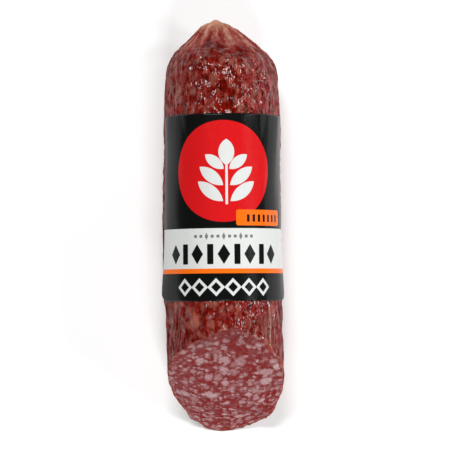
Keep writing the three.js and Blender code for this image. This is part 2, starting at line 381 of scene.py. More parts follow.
def settle_end(x, y, up):
    """Leans the tip to the left and hollows the end below it, as in the plain solid."""
    depth = TIP_Y - y
    if depth >= END_LENGTH:
        return x, y
    starts = smooth(0, TUCK_REACH / 4, -up)
    stops = 1 - smooth(TUCK_REACH * 0.6, TUCK_REACH, -up)
    y -= TUCK_DEPTH * hump(x, TUCK_HALF_WIDTH) * starts * stops
    x -= TIP_LEAN * (1 - max(depth, 0) / END_LENGTH) ** 2
    return x, y


def surface_point(turn, radius, y, inset=0.0, rough=1.0, floor=0.0):
    """A point of the sausage: round place, lumps, wrinkles, folds, then the flat that it lies on."""
    angle = math.radians(turn)
    x, up = radius * math.sin(angle), radius * math.cos(angle)
    z = AXIS_HEIGHT + up
    depth = TIP_Y - y
    body = smooth(10, 24, depth)
    lift = swell(x, y, z) * body - inset - UNDERSIDE_SETTLE * smooth(0.8, 1, -up / RADIUS)
    shrunk = LEFT_SHRINK * smooth(LABEL_NEAR_Y + 3, LABEL_NEAR_Y - 5, y)
    shrunk += LEFT_SHOULDER * smooth(LABEL_NEAR_Y + 30, LABEL_FAR_Y - 12, y) * body
    lift -= shrunk * smooth(0.2, 0.9, -x / RADIUS)
    if rough:
        free = 1 - under_label(x, y, z)
        lift += rough * free * wrinkles(x, y, z) * smooth(3, 12, depth)
        lift += rough * gathers(turn, depth) * smooth(0, 3, radius)
    grown = (radius + lift) / max(radius, 0.01)
    if radius > 0.5:
        x, up = x * grown, up * grown
    x, y = settle_end(x, y, up)
    y += NUB_HEIGHT * (1 - smooth(0.3, NUB_RADIUS, math.hypot(radius, depth)))
    x += BEND * smooth(-15, -55, y)
    return MIDDLE_X + x, y, max(AXIS_HEIGHT + up, floor)


# ---- materials ----


def hex_colour(code):
    """An sRGB hex colour as the linear numbers that shaders take."""
    parts = [int(code[i : i + 2], 16) / 255 for i in (1, 3, 5)]
    return (*[c / 12.92 if c <= 0.04045 else ((c + 0.055) / 1.055) ** 2.4 for c in parts], 1)


def new_material(name):
    material = bpy.data.materials.new(name)
    material.use_nodes = True
    material.node_tree.nodes.clear()
    return material, material.node_tree


def add(tree, kind, inputs=None, output=0, **settings):
    """Adds a node, applies its settings, feeds its inputs (a text is a hex colour), hands back one output."""
    made = tree.nodes.new("ShaderNode" + kind)
    for name, value in settings.items():
        setattr(made, name, value)
    for socket, value in (inputs or {}).items():
        if isinstance(value, bpy.types.NodeSocket):
            tree.links.new(value, made.inputs[socket])
        else:
            made.inputs[socket].default_value = hex_colour(value) if isinstance(value, str) else value
    return made.outputs[output] if len(made.outputs) else None


def place_in_mm(tree):
    """Where a point of the object is, in millimetres."""
    spot = add(tree, "TexCoord", output="Object")
    return add(tree, "VectorMath", {0: spot, "Scale": 1 / MM}, operation="SCALE")


def stretched(tree, place, across, along):
    """The place measured in steps of these sizes across and along the stick."""
    return add(tree, "VectorMath", {0: place, 1: (1 / across, 1 / along, 1 / across)}, operation="MULTIPLY")


def wavered(tree, place, size, amount):
    """The place shaken by a slow noise, so that edges in a pattern wander."""
    cloud = add(tree, "TexNoise", {"Vector": place, "Scale": 1 / size, "Detail": 2.0}, output="Color")
    centred = add(tree, "VectorMath", {0: cloud, 1: (0.5, 0.5, 0.5)}, operation="SUBTRACT")
    moved = add(tree, "VectorMath", {0: centred, "Scale": amount}, operation="SCALE")
    return add(tree, "VectorMath", {0: place, 1: moved}, operation="ADD")


def worked_through(tree, operation, first, *others):
    """Several values taken into one, one after another, by the same sum."""
    for other in others:
        first = add(tree, "Math", {0: first, 1: other}, operation=operation)
    return first


def painted(tree, ground, layers):
    """Colours laid over a ground one after another, each as strongly as its mask says."""
    for mask, colour in layers:
        ground = add(tree, "Mix", {0: mask, 6: ground, 7: colour}, output=2, data_type="RGBA")
    return ground


def finish(tree, inputs):
    """Gives the material its surface."""
    add(tree, "OutputMaterial", {"Surface": add(tree, "BsdfPrincipled", inputs)})


def grains(tree, place, size, share, fullness, softness):
    """Scattered fat grains of one size: how pale a place is, from 0 in the lean to 1 in the whitest grain."""
    cells = add(tree, "TexVoronoi", {"Vector": place, "Scale": 1 / size}).node
    first, second, third = add(tree, "SeparateColor", {0: cells.outputs["Color"]}).node.outputs
    chosen = add(tree, "Math", {0: first, 1: share}, operation="LESS_THAN")
    reach = add(tree, "MapRange", {0: second, 3: fullness * 0.55, 4: fullness})
    inside = add(tree, "Math", {0: reach, 1: cells.outputs["Distance"]}, operation="SUBTRACT")
    edge = add(tree, "Math", {0: inside, 1: 1 / softness, 2: 0.5}, operation="MULTIPLY_ADD", use_clamp=True)
    paleness = add(tree, "MapRange", {0: third, 3: 0.3, 4: 1.0})
    return worked_through(tree, "MULTIPLY", edge, paleness, chosen)


def fat_pattern(tree, place, large=0.22, softness=1.0):
    """Large, middling and small grains of fat laid over each other."""
    shaken = wavered(tree, wavered(tree, place, 2.4, 2.2), 0.8, 0.7)
    sizes = ((5.4, large, 0.5, 0.18), (3.1, 0.42, 0.55, 0.28), (1.6, 0.42, 0.6, 0.5))
    layers = [grains(tree, shaken, size, share, full, soft * softness) for size, share, full, soft in sizes]
    return worked_through(tree, "MAXIMUM", *layers)


def make_meat():
    # Dry-cured minced meat, cut with a knife: dull wine-red lean, pinkish grey fat, a smear of fat between.
    material, tree = new_material("cured meat, knife-cut")
    place = place_in_mm(tree)
    z = add(tree, "SeparateXYZ", {0: place}, output=2)
    # the grains are pressed flat against the lower rim
    off = add(tree, "VectorMath", {0: place, 1: (MIDDLE_X, 0, AXIS_HEIGHT)}, operation="SUBTRACT")
    section = add(tree, "VectorMath", {0: off, 1: (1 / RADIUS, 0, 1 / RADIUS)}, operation="MULTIPLY")
    out = add(tree, "VectorMath", {0: section, 1: section}, output=1, operation="DOT_PRODUCT")
    low = add(tree, "MapRange", {0: z, 1: HEIGHT * 0.62, 2: HEIGHT * 0.15})
    low_rim = add(tree, "Math", {0: out, 1: low}, operation="MULTIPLY")
    press = add(tree, "Math", {0: low_rim, 1: 0.24, 2: 1.0}, operation="MULTIPLY_ADD")
    pressed = add(tree, "VectorMath", {0: off, "Scale": press}, operation="SCALE")
    fat = fat_pattern(tree, pressed)
    cloud = add(tree, "TexNoise", {"Vector": pressed, "Scale": 1 / 2.4, "Detail": 5.0, "Roughness": 0.65})
    fine = add(tree, "TexNoise", {"Vector": place, "Scale": 1 / 0.7, "Detail": 4.0})
    fresh = add(tree, "MapRange", {0: fine, 1: 0.25, 2: 0.75})
    smear = add(tree, "MapRange", {0: cloud, 1: 0.44, 2: 0.62, 4: 0.8})
    lean = painted(tree, "#540604", [(fresh, "#A21A13"), (smear, "#8E4246")])
    pale = painted(tree, "#B58488", [(add(tree, "MapRange", {0: fine, 1: 0.3, 2: 0.7}), "#D2B2B2")])
    # smoke and the casing's colour have stained the rim, and the upper edge is darker in patches, as painted
    # shade where the cut face rolls over into the casing
    rim = add(tree, "Attribute", attribute_name="rim", output=2)
    near_rim = add(tree, "MapRange", {0: rim, 1: 0.3})
    patchy = add(tree, "MapRange", {0: cloud, 1: 0.4, 2: 0.6, 4: 0.8})
    stained = add(tree, "Math", {0: near_rim, 1: patchy}, operation="MULTIPLY")
    # painted shade: darker towards the upper edge of the cut face
    high = add(tree, "MapRange", {0: z, 1: HEIGHT * 0.8, 2: HEIGHT, 4: 0.9})
    top_edge_shade = add(tree, "Math", {0: high, 1: cloud}, operation="MULTIPLY")
    height = add(tree, "Math", {0: fat, 1: 0.4, 2: fine}, operation="MULTIPLY_ADD")
    finish(
        tree,
        {
            "Base Color": painted(tree, lean, [(fat, pale), (stained, "#A8483A"), (top_edge_shade, "#5E2A2E")]),
            "Roughness": add(tree, "MapRange", {0: fine, 3: 0.36, 4: 0.56}),
            "IOR": 1.33,
            "Specular IOR Level": 0.35,
            "Normal": add(tree, "Bump", {"Strength": 0.6, "Distance": 0.3 * MM, "Height": height}),
        },
    )
    return material


def make_casing():
    # Collagen casing, shrunk tight on the meat: a thin glossy skin, with dark red lean and tan fat showing.
    material, tree = new_material("collagen casing, dried tight")
    place = place_in_mm(tree)
    x, y, z = add(tree, "SeparateXYZ", {0: place}).node.outputs
    fat = fat_pattern(tree, stretched(tree, place, 0.95, 1.25), large=0.08, softness=1.4)
    drawn = stretched(tree, place, 1.2, 3.2)
    streaks = add(tree, "TexNoise", {"Vector": drawn, "Scale": 1.0, "Detail": 5.0, "Roughness": 0.6})
    cloud = add(tree, "TexNoise", {"Vector": place, "Scale": 1 / 8, "Detail": 3.0})
    lean = painted(tree, "#3E0402", [(add(tree, "MapRange", {0: streaks, 1: 0.35, 2: 0.65}), "#841408")])
    veiled_fat = add(tree, "Math", {0: fat, 1: 0.6}, operation="MULTIPLY")
    # dried fat leaves a mauve haze in patches, and painted sheen is added to it, growing towards the right
    # flank, where the lights' broad reflection falls
    right_flank_sheen = add(tree, "MapRange", {0: x, 1: 4.0, 2: 20.0, 3: 0.0, 4: 0.35})
    hazy = add(tree, "MapRange", {0: cloud, 1: 0.45, 2: 0.7, 4: 0.35})
    haze = add(tree, "Math", {0: hazy, 1: right_flank_sheen}, operation="ADD")
    streaky = add(tree, "MapRange", {0: streaks, 1: 0.42, 2: 0.6})
    haze = add(tree, "Math", {0: haze, 1: streaky}, operation="MULTIPLY")
    # at the gathered end: painted shade, deep red in the valleys between the folds and paler towards their
    # crests, paler doubled sheets over them, frayed edges, a tan tip
    fold = add(tree, "Attribute", attribute_name="fold", output=2)
    bunched = add(tree, "MapRange", {0: y, 1: TIP_Y - 17, 2: TIP_Y - 9, 4: 0.85})
    # painted shade: the fold value is low in the valleys between the folds, and these get the darkest red
    deep = painted(tree, "#480504", [(add(tree, "MapRange", {0: fold, 1: -0.5, 2: 0.35}), "#8C281F")])
    sheet = painted(tree, "#7E3230", [(add(tree, "MapRange", {0: streaks, 1: 0.35, 2: 0.6}), "#B4766A")])
    fold_shade_and_sheets = painted(tree, deep, [(add(tree, "MapRange", {0: fold, 1: 0.25, 2: 0.95}), sheet)])
    frayed = add(tree, "MapRange", {0: fold, 1: 1.2, 2: 1.9, 4: 0.6})
    ragged_y = add(tree, "Math", {0: streaks, 1: 7.0, 2: y}, operation="MULTIPLY_ADD")
    lopsided = add(tree, "MapRange", {0: x, 1: -1.0, 2: 8.0, 3: 0.0, 4: 3.0})
    ragged_y = add(tree, "Math", {0: ragged_y, 1: lopsided}, operation="SUBTRACT")
    tip = add(tree, "MapRange", {0: ragged_y, 1: TIP_Y - 2.0, 2: TIP_Y + 3.0, 4: 0.85})
    # the mauve haze layer also carries the painted sheen of the right flank
    layers = [(veiled_fat, "#B06E5E"), (haze, "#964448"), (bunched, fold_shade_and_sheets), (frayed, "#C09478")]
    # fat has sweated through in patches: they shine on the upper side, the flanks and the gathers stay duller
    patches = add(tree, "TexNoise", {"Vector": stretched(tree, place, 2.0, 4.0), "Scale": 1.0, "Detail": 3.0})
    upper = add(tree, "MapRange", {0: z, 1: HEIGHT * 0.5, 2: HEIGHT * 0.9, 3: 0.15, 4: 1.0})
    sweated = add(tree, "MapRange", {0: patches, 1: 0.42, 2: 0.56, 3: 0.3, 4: 1.0})
    ungathered = add(tree, "MapRange", {0: y, 1: TIP_Y - 13, 2: TIP_Y - 6, 3: 1.0, 4: 0.22})
    crinkle = add(tree, "TexNoise", {"Vector": stretched(tree, place, 0.9, 2.8), "Scale": 1.0, "Detail": 1.0})
    bump = add(tree, "Bump", {"Strength": 1.0, "Distance": 0.5 * MM, "Height": crinkle})
    finish(
        tree,
        {
            "Base Color": painted(tree, lean, layers + [(tip, "#C9967A")]),
            "Roughness": add(tree, "MapRange", {0: cloud, 3: 0.42, 4: 0.6}),
            "Specular IOR Level": 0.0,
            "Normal": bump,
            "Coat Weight": worked_through(tree, "MULTIPLY", upper, sweated, ungathered),
            "Coat Roughness": 0.07,
            "Coat IOR": 1.48,
            "Coat Normal": bump,
        },
    )
    return material


def filled(tree, distance, softness=0.07):
    """1 inside a printed shape and 0 outside, from its signed distance in millimetres."""
    steep = {0: distance, 1: -1 / softness, 2: 0.5}
    return add(tree, "Math", steep, operation="MULTIPLY_ADD", use_clamp=True)


def box_print(tree, spot, middle, size, corner=0.0):
    """A printed box with rounded corners."""
    off = add(tree, "VectorMath", {0: spot, 1: (*middle, 0)}, operation="SUBTRACT")
    off = add(tree, "VectorMath", {0: off}, operation="ABSOLUTE")
    inner = (size[0] / 2 - corner, size[1] / 2 - corner, 0)
    off = add(tree, "VectorMath", {0: off, 1: inner}, operation="SUBTRACT")
    if corner:
        out = add(tree, "VectorMath", {0: off, 1: (0, 0, 0)}, operation="MAXIMUM")
        length = add(tree, "VectorMath", {0: out}, output=1, operation="LENGTH")
        return filled(tree, add(tree, "Math", {0: length, 1: corner}, operation="SUBTRACT"))
    x, y, _ = add(tree, "SeparateXYZ", {0: off}).node.outputs
    return filled(tree, add(tree, "Math", {0: x, 1: y}, operation="MAXIMUM"))


def disc_print(tree, spot, middle, radius):
    away = add(tree, "VectorMath", {0: spot, 1: (*middle, 0)}, output=1, operation="DISTANCE")
    return filled(tree, add(tree, "Math", {0: away, 1: radius}, operation="SUBTRACT"))


def leaf_print(tree, spot, middle, turn, length, width):
    """A pointed leaf: the overlap of two discs. turn is in degrees from upright."""
    turning = {"Vector": spot, "Center": (*middle, 0), "Angle": math.radians(turn)}
    turned = add(tree, "VectorRotate", turning, rotation_type="Z_AXIS")
    radius = (length**2 + width**2) / (4 * width)
    aside = radius - width / 2
    sides = []
    for x in (middle[0] - aside, middle[0] + aside):
        centre = (x, middle[1], 0)
        sides.append(add(tree, "VectorMath", {0: turned, 1: centre}, output=1, operation="DISTANCE"))
    farther = add(tree, "Math", {0: sides[0], 1: sides[1]}, operation="MAXIMUM")
    return filled(tree, add(tree, "Math", {0: farther, 1: radius}, operation="SUBTRACT"))


def repeated(tree, spot, middle, step):
    """The place within a row of repeats two steps apart: x from its own repeat's middle, y from the row's."""
    off = add(tree, "VectorMath", {0: spot, 1: (*middle, 0)}, operation="SUBTRACT")
    x, y, _ = add(tree, "SeparateXYZ", {0: off}).node.outputs
    near = add(tree, "Math", {0: x, 1: step}, operation="PINGPONG")
    return add(tree, "CombineXYZ", {0: near, 1: y})


def lozenge_distance(tree, spot, half_width, half_height):
    """Signed distance from an upright lozenge's edge, near enough for a print."""
    size = add(tree, "VectorMath", {0: spot, 1: (1 / half_width, 1 / half_height, 0)}, operation="MULTIPLY")
    size = add(tree, "VectorMath", {0: size}, operation="ABSOLUTE")
    total = add(tree, "VectorMath", {0: size, 1: (1, 1, 0)}, output=1, operation="DOT_PRODUCT")
    slant = half_width * half_height / math.hypot(half_width, half_height)
    return add(tree, "Math", {0: total, 1: slant, 2: -slant}, operation="MULTIPLY_ADD")


def sprig_print(tree, spot):
    """A sprig: three pairs of leaves, an end leaf and a stem."""
    off = add(tree, "VectorMath", {0: spot, 1: (*SPRIG_FOOT, 0)}, operation="SUBTRACT")
    x, y, _ = add(tree, "SeparateXYZ", {0: off}).node.outputs
    beside = add(tree, "Math", {0: x}, operation="ABSOLUTE")
    folded = add(tree, "CombineXYZ", {0: beside, 1: y})
    height, reach, length, width = END_LEAF
    shapes = [leaf_print(tree, folded, (reach, height), 0, length, width)]
    for height, reach, length, width in LEAF_PAIRS:
        shapes.append(leaf_print(tree, folded, (reach, height), LEAF_TURN, length, width))
    shapes.append(box_print(tree, folded, STEM_MIDDLE, STEM_SIZE, 0.4))
    return worked_through(tree, "MAXIMUM", *shapes)


def dashes_print(tree, spot):
    """The row of dashes on the small tag."""
    row = box_print(tree, repeated(tree, spot, DASHES_MIDDLE, DASH_STEP), (0, 0), DASH_SIZE, 0.2)
    return worked_through(tree, "MULTIPLY", row, box_print(tree, spot, DASHES_MIDDLE, DASHES_SIZE))


def marks_print(tree, spot):
    """The row of lozenges with bars between them, on the white band."""
    place = repeated(tree, spot, MARKS_MIDDLE, MARK_STEP)
    lozenges = filled(tree, lozenge_distance(tree, place, *MARK_LOZENGE))
    bars = box_print(tree, place, (MARK_STEP, 0), MARK_BAR, 0.3)
    row = worked_through(tree, "MAXIMUM", lozenges, bars)
    return worked_through(tree, "MULTIPLY", row, box_print(tree, spot, MARKS_MIDDLE, MARKS_SIZE))


def small_marks_print(tree, spot):
    """The fine row of short dashes and upright bars above the marks."""
    dashes = box_print(tree, repeated(tree, spot, SMALL_MIDDLE, SMALL_DASH_STEP), (0, 0), SMALL_DASH, 0.3)
    bars = box_print(tree, repeated(tree, spot, SMALL_MIDDLE, SMALL_BAR_STEP), (0, 0), SMALL_BAR, 0.2)
    row = worked_through(tree, "MAXIMUM", dashes, bars)
    return worked_through(tree, "MULTIPLY", row, box_print(tree, spot, SMALL_MIDDLE, SMALL_SIZE))


def chain_print(tree, spot):
    """The row of outlined lozenges on the label's near end."""
    distance = lozenge_distance(tree, repeated(tree, spot, CHAIN_START, CHAIN_STEP), *CHAIN_LOZENGE)
    beside = add(tree, "Math", {0: distance}, operation="ABSOLUTE")
    outlines = filled(tree, add(tree, "Math", {0: beside, 1: CHAIN_LINE}, operation="SUBTRACT"))
    return worked_through(tree, "MULTIPLY", outlines, box_print(tree, spot, CHAIN_MIDDLE, CHAIN_SIZE))


def make_label_film():
    # Printed gloss plastic film, stuck on: black ground, signal red disc, white and orange bands, soft sheen.
    material, tree = new_material("printed gloss film")
    size = (LABEL_WIDTH, LABEL_FAR_Y - LABEL_NEAR_Y, 0)
    uv = add(tree, "UVMap", uv_map="print")
    spot = add(tree, "VectorMath", {0: uv, 1: size, 2: (-LABEL_WIDTH / 2, 0, 0)}, operation="MULTIPLY_ADD")
    wear = add(tree, "TexNoise", {"Vector": spot, "Scale": 1 / 1.5, "Detail": 4.0})
    slow = add(tree, "TexNoise", {"Vector": spot, "Scale": 1 / 12, "Detail": 2.0})
    inks = (
        ("#0B0D0C", "#121413"),
        ("#D4D6D3", "#DCDEDC"),
        ("#F56A10", "#FB7418"),
        ("#CC1519", "#D41C1F"),
        ("#6F706E", "#7C7D7B"),
    )
    black, white, orange, red, grey = (painted(tree, ink, [(wear, worn)]) for ink, worn in inks)
    print_layers = [
        (disc_print(tree, spot, DISC_MIDDLE, DISC_RADIUS), red),
        (sprig_print(tree, spot), white),
        (box_print(tree, spot, TAG_MIDDLE, TAG_SIZE, TAG_CORNER), orange),
        (dashes_print(tree, spot), black),
        (box_print(tree, spot, BAND_MIDDLE, BAND_SIZE), white),
        (marks_print(tree, spot), black),
        (small_marks_print(tree, spot), grey),
        (box_print(tree, spot, STRIPE_MIDDLE, STRIPE_SIZE), orange),
        (chain_print(tree, spot), white),
    ]
    height = add(tree, "Math", {0: wear, 1: 0.08, 2: slow}, operation="MULTIPLY_ADD")
    finish(
        tree,
        {
            "Base Color": painted(tree, black, print_layers),
            "Roughness": add(tree, "MapRange", {0: wear, 3: 0.18, 4: 0.25}),
            "IOR": 1.26,
            "Normal": add(tree, "Bump", {"Strength": 0.35, "Distance": 0.25 * MM, "Height": height}),
        },
    )
    return material


def make_clip_wire():
    # Aluminium wire, drawn and then crimped: pale grey metal with fine draw lines and a slightly hazy shine.
    material, tree = new_material("drawn aluminium wire")
    place = place_in_mm(tree)
    haze = add(tree, "TexNoise", {"Vector": place, "Scale": 1 / 1.2, "Detail": 3.0})
    # real draw lines are finer than 0.12 mm, which is what still shows
    lines = add(tree, "TexNoise", {"Vector": stretched(tree, place, 2.0, 0.12), "Scale": 1.0, "Detail": 2.0})
    finish(
        tree,
        {
            "Base Color": painted(tree, "#BDBEC0", [(haze, "#D2D3D4")]),
            "Metallic": 1.0,
            "Roughness": add(tree, "MapRange", {0: haze, 3: 0.26, 4: 0.4}),
            "Normal": add(tree, "Bump", {"Strength": 0.4, "Distance": 0.03 * MM, "Height": lines}),
        },
    )
    return material


def make_table():
    # White matt board: no shine, the faintest unevenness of tone, a little light of its own.
    material, tree = new_material("white matt board")
    cloud = add(tree, "TexNoise", {"Vector": place_in_mm(tree), "Scale": 1 / 60, "Detail": 2.0})
    finish(
        tree,
        {
            "Base Color": painted(tree, "#F8F8F8", [(cloud, "#FCFCFC")]),
            "Roughness": 0.9,
            "Emission Color": "#FFFFFF",
            "Emission Strength": 0.08,
        },
    )
    return material


# ---- pieces ----


def casing_rows():
    """Rows of the casing as (radius, depth, share): share runs 0 to 1 from the label's end to the cut."""
    end = [(r, d, 0) for r, d in evenly(end_outline(), ROW_STEP)]
    label_end = TIP_Y - LABEL_FAR_Y
    length = label_end - END_LENGTH
    count = round(length / ROW_STEP)
    middle = [(None, END_LENGTH + length * (i + 1) / count, 0) for i in range(count)]
    fan = [(None, label_end, (i + 1) / FAN_ROWS) for i in range(FAN_ROWS)]
    return end[1:] + middle + fan


def rim_y(turn):
    """Where the cut crosses the outside of the sausage, found by stepping between surface and cut."""
    y = CUT_LOW_Y + CUT_LENGTH / 2
    for _ in range(8):
        x, _, z = surface_point(turn, RADIUS, y)
        y = cut_y(x - MIDDLE_X, z)
    return y


def close_inside(points, faces, rims, edge_start, inset, shares):
    """Adds the plain face that nothing shows, from the ring at edge_start to the tip, in wider columns."""
    per = COLUMNS // INNER_COLUMNS
    turns = [360 * j / INNER_COLUMNS for j in range(INNER_COLUMNS)]
    straight_end = TIP_Y - INNER_DEPTHS[0]
    first = len(points)
    for share in shares:
        deep = blend(inset, SKIN, smooth(0.9, 1, share))
        for j, turn in enumerate(turns):
            y = blend(straight_end, rims[j * per], share)
            points.append(surface_point(turn, round_radius(TIP_Y - y), y, inset=deep, rough=0, floor=inset))
    rings = [(round_radius(depth), depth) for depth in INNER_DEPTHS]
    rings += evenly(end_outline(), INNER_STEP)[:0:-1]
    for radius, depth in rings:
        inner, y = max(radius - inset, 0.3), TIP_Y - depth - inset
        points += [surface_point(turn, inner, y, rough=0, floor=inset) for turn in turns]
    for j in range(INNER_COLUMNS):
        here, there = first + j, first + (j + 1) % INNER_COLUMNS
        edge = [edge_start + (j * per + k) % COLUMNS for k in range(per + 1)]
        faces += [(edge[k], here if k < per // 2 else there, edge[k + 1]) for k in range(per)]
        faces.append((edge[per // 2], here, there))
    ring_count = (len(points) - first) // INNER_COLUMNS
    for i in range(ring_count - 1):
        faces += ring_faces(first + (i + 1) * INNER_COLUMNS, first + i * INNER_COLUMNS, INNER_COLUMNS)
    last = first + (ring_count - 1) * INNER_COLUMNS
    faces.append(tuple(last + j for j in range(INNER_COLUMNS - 1, -1, -1)))


def dried_ridge(turn, y):
    """The long ridges that the casing dried into near the cut: 1 on the highest crest, 0 away from them."""
    crests = sum(strength * hump(turn - place, RIDGE_WIDTH) for place, strength in RIDGES)
    return smooth(LABEL_NEAR_Y + 2, LABEL_NEAR_Y - 3, y) * crests


def frayed_edge(turn, share):
    """How pale the cut edge of the casing is: all of it below, in places above."""
    below = 0.2 - 0.2 * math.cos(math.radians(turn))
    return 3.5 * smooth(0.99, 1, share) * (0.3 + below + noise.noise(Vector((turn / 9, 0, 2))))


def build_casing(material):
    turns = [360 * j / COLUMNS for j in range(COLUMNS)]
    rims = [rim_y(t) for t in turns]
    rows = casing_rows()
    points = [(MIDDLE_X - TIP_LEAN, TIP_Y, AXIS_HEIGHT)]
    folds = [1]
    for radius, depth, share in rows:
        for turn, rim in zip(turns, rims):
            y = blend(TIP_Y - depth, rim, share)
            ridge = dried_ridge(turn, y)
            inset = -RIDGE_HEIGHT * ridge * (1 - share**8)
            points.append(surface_point(turn, radius or round_radius(TIP_Y - y), y, inset=inset))
            if share == 0:
                # the fold height goes into the colour as painted shade, darker in the valleys and paler on
                # the crests, along with streaks of colour
                folds.append(gathers(turn, depth) + drawn_streaks(turn, depth))
            else:
                folds.append(frayed_edge(turn, share) + 1.9 * ridge)
    faces = [(0, 1 + j, 1 + (j + 1) % COLUMNS) for j in range(COLUMNS)]
    for i in range(len(rows) - 1):
        faces += ring_faces(1 + (i + 1) * COLUMNS, 1 + i * COLUMNS, COLUMNS)
    rim_start = len(points)
    points += [surface_point(t, RADIUS, y, inset=SKIN, floor=SKIN) for t, y in zip(turns, rims)]
    folds += [frayed_edge(t, 1) for t in turns]
    faces += ring_faces(rim_start, rim_start - COLUMNS, COLUMNS)
    close_inside(points, faces, rims, rim_start, SKIN_HIDDEN, CASING_INNER_SHARES)
    folds += [0] * (len(points) - len(folds))
    add_tail(points, faces, folds)
    return make_piece("casing_skin", points, faces, material, values=("fold", folds))


def tail_middle(share):
    """A place on the tail's middle line as y and z from the clip's middle, and the way that it runs there."""
    t = share * (len(TAIL_ROUTE) - 1)
    k = min(int(t), len(TAIL_ROUTE) - 2)
    a, b, u = TAIL_ROUTE[k], TAIL_ROUTE[k + 1], t - k
    before, after = TAIL_ROUTE[max(k - 1, 0)], TAIL_ROUTE[min(k + 2, len(TAIL_ROUTE) - 1)]
    y, z = (
        0.5 * (2 * a[n] + (b[n] - before[n]) * u + (2 * before[n] - 5 * a[n] + 4 * b[n] - after[n]) * u**2)
        + 0.5 * (3 * a[n] - before[n] - 3 * b[n] + after[n]) * u**3
        for n in (0, 1)
    )
    return y, z, Vector((b[0] - a[0], b[1] - a[1])).normalized()


def add_tail(points, faces, folds):
    """The gathered end of the casing, drawn through the clip and folded down into the hollow."""
    first = len(points)
    for i in range(TAIL_STEPS + 1):
        share = i / TAIL_STEPS
        y, z, run = tail_middle(share)
        outward = (-run.y, run.x)
        pinch = 1 - 0.12 * hump(z, 1.6)
        flare = 1 + 0.7 * smooth(-2, -7.6, z) + 0.35 * smooth(2.5, 6, z)
        closing = math.sqrt(max(1 - ((share - 0.97) / 0.03) ** 2, 0.04)) if share > 0.97 else 1
        for j in range(TAIL_COLUMNS):
            angle = 2 * math.pi * j / TAIL_COLUMNS
            pleat = 0.13 * math.cos(11 * angle + 0.35 * z) + 0.1 * math.cos(5 * angle - 0.2 * z)
            crumple = noise.noise(Vector((math.cos(angle) * 2.2, math.sin(angle) * 2.2, z / 1.4)))
            size = pinch * closing * (1 + pleat + 0.22 * crumple)
            across = TAIL_HALF_WIDTH * flare * size * math.cos(angle)
            out = TAIL_HALF_THICKNESS * size * (1 + 0.3 * (flare - 1)) * math.sin(angle)
            off = (across, y + outward[0] * out, z + outward[1] * out)
            points.append(tuple(a + b for a, b in zip(CLIP_MIDDLE, off)))
            # painted shade: the tail's colour follows its pleats, paler on the crests and darker between them
            folds.append(1.3 + 2 * pleat)
    for i in range(TAIL_STEPS):
        faces += ring_faces(first + i * TAIL_COLUMNS, first + (i + 1) * TAIL_COLUMNS, TAIL_COLUMNS)
    last = first + TAIL_STEPS * TAIL_COLUMNS
    faces.append(tuple(last + j for j in range(TAIL_COLUMNS)))
    faces.append(tuple(first + j for j in range(TAIL_COLUMNS - 1, -1, -1)))


def build_clip(material):
    """A U of flat wire crimped round the tail, its two legs turned in where they meet."""
    wide, deep = CLIP_HALF[0] - WIRE_WIDTH / 2, CLIP_HALF[1] - WIRE_WIDTH / 2
    leg = [(across, deep - back) for across, back in LEG_END]
    bend = [math.radians(a) for a in range(24, 338, BEND_STEP)]
    path = leg + [(wide * math.sin(a), deep * math.cos(a)) for a in bend]
    path += [(-x, y) for x, y in reversed(leg)]
    section = []
    for k in range(WIRE_STEPS):
        angle = 2 * math.pi * k / WIRE_STEPS
        squared = [math.copysign(abs(c) ** 0.45, c) for c in (math.cos(angle), math.sin(angle))]
        section.append((squared[0] * WIRE_WIDTH / 2, squared[1] * CLIP_HALF[2]))
    points, faces = [], []
    for i, (x, y) in enumerate(path):
        a, b = path[max(i - 1, 0)], path[min(i + 1, len(path) - 1)]
        run = Vector((b[0] - a[0], b[1] - a[1])).normalized()
        for out, up in section:
            off = (x - run.y * out, y + run.x * out, up)
            points.append(tuple(a + b for a, b in zip(CLIP_MIDDLE, off)))
    for i in range(len(path) - 1):
        faces += ring_faces(i * WIRE_STEPS, (i + 1) * WIRE_STEPS, WIRE_STEPS)
    faces.append(tuple(range(WIRE_STEPS - 1, -1, -1)))
    faces.append(tuple((len(path) - 1) * WIRE_STEPS + j for j in range(WIRE_STEPS)))
    return make_piece("crimped_clip", points, faces, material)


def build_meat(material):
    turns = [360 * j / COLUMNS for j in range(COLUMNS)]
    rims = [rim_y(t) for t in turns]
    inset = SKIN + MEAT_GAP
    edge = [surface_point(t, RADIUS, y, inset=inset, floor=inset) for t, y in zip(turns, rims)]
    points, rim_values = [], []
    for i in range(FACE_RINGS):
        share = 1 - i / FACE_RINGS
        for rim_x, _, rim_z in edge:
            x = blend(MIDDLE_X, rim_x, share)
            z = blend(AXIS_HEIGHT, rim_z, share)
            relief = 0.16 * noise.noise(Vector((x / 1.3, z / 1.3, 7)))
            relief += 0.3 * noise.noise(Vector((x / 5, z / 5, 9)))
            points.append((x, cut_y(x - MIDDLE_X, z) + relief * smooth(0, 0.06, 1 - share), z))
            rim_values.append(smooth(0.9, 1, share))
    centre = len(points)
    points.append((MIDDLE_X, cut_y(0.01, AXIS_HEIGHT), AXIS_HEIGHT))
    faces = []
    for i in range(FACE_RINGS - 1):
        faces += ring_faces(i * COLUMNS, (i + 1) * COLUMNS, COLUMNS)
    last = (FACE_RINGS - 1) * COLUMNS
    faces += [(last + j, last + (j + 1) % COLUMNS, centre) for j in range(COLUMNS)]
    close_inside(points, faces, rims, 0, MEAT_HIDDEN, MEAT_INNER_SHARES)
    faces = [face[::-1] for face in faces]
    rim_values += [0] * (len(points) - len(rim_values))
    return make_piece("meat", points, faces, material, values=("rim", rim_values))


